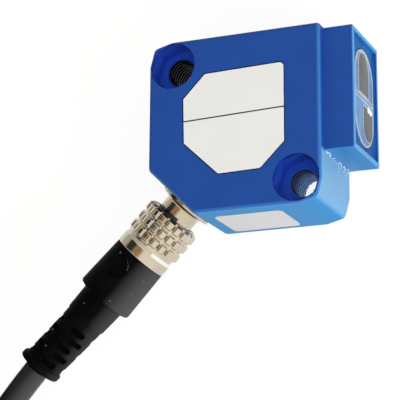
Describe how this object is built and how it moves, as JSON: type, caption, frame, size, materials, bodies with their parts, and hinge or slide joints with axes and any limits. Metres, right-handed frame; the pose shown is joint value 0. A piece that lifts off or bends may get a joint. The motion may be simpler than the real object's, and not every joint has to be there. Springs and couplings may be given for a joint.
{
  "type": "background suppression sensor",
  "caption": "Square block optical sensor with a lens head on one side, hexagon screw pockets, and a plugged-in cable that leaves one cut corner and lies coiled.",
  "frame": {"origin": "middle of the block's flat back face, which it is mounted on or lies on", "axes": "+Z from the back face to the label face, +X towards the lens head, +Y towards the top of the label"},
  "size_m": [0.1417, 0.0902, 0.0188],
  "materials": {
    "housing_plastic": "moulded, satin",
    "window_clear": "clear moulded plastic",
    "inner_grey": "matt grey",
    "board_green": "circuit laminate",
    "chip_black": "matt black resin",
    "capacitor_amber": "satin resin",
    "led_clear": "clear resin",
    "sleeve_steel": "turned",
    "label_white": "satin film",
    "nickel": "nickel-plated, bright",
    "insert_black": "satin",
    "contact_gold": "gold-plated",
    "grip_black": "moulded, satin",
    "seal_rubber": "matt",
    "jacket_black": "satin cable jacket",
    "tie_black": "satin",
    "core_brown": "satin",
    "core_white": "satin",
    "core_blue": "satin",
    "core_black": "satin"
  },
  "bodies": {
    "sensor": {"housing_shell": "housing_plastic", "back_cover": "housing_plastic", "optic_head": "housing_plastic", "front_window": "window_clear", "optics_carrier": "inner_grey", "emitter_lens": "window_clear", "receiver_lens": "window_clear", "sensor_board": "board_green", "emitter_led": "led_clear", "receiver_diode": "chip_black", "main_board": "board_green", "controller_chip": "chip_black", "output_driver": "chip_black", "buffer_capacitor": "capacitor_amber", "screw_sleeve_1": "sleeve_steel", "screw_sleeve_2": "sleeve_steel", "front_label": "label_white", "side_label": "label_white", "receptacle": "nickel", "pin_carrier": "insert_black", "contact_pin_1": "contact_gold", "contact_pin_2": "contact_gold", "contact_pin_3": "contact_gold", "contact_pin_4": "contact_gold"},
    "cable_plug": {"plug_grip": "grip_black", "contact_carrier": "insert_black", "contact_socket_1": "contact_gold", "contact_socket_2": "contact_gold", "contact_socket_3": "contact_gold", "contact_socket_4": "contact_gold", "nose_seal": "seal_rubber", "cord_run": "jacket_black", "cord_coil": "jacket_black", "coil_tie": "tie_black", "cord_end": "jacket_black", "core_brown": "core_brown", "core_white": "core_white", "core_blue": "core_blue", "core_black": "core_black"},
    "coupling_nut": {"coupling_nut": "nickel"}
  },
  "joints": [
    {"name": "plug_slide", "type": "slide", "parent": "sensor", "child": "cable_plug", "axis": [-0.7071, -0.7071, 0], "range_m": [0, 0.004]},
    {"name": "nut_turn", "type": "hinge", "parent": "cable_plug", "child": "coupling_nut", "pos_m": [-0.0159, -0.0159, 0.0075], "axis": [-0.7071, -0.7071, 0], "range_deg": [0, 1440]}
  ],
  "couplings": [
    {"joint": "nut_turn", "follows": "plug_slide", "rad_per_m": 6283.2}
  ]
}
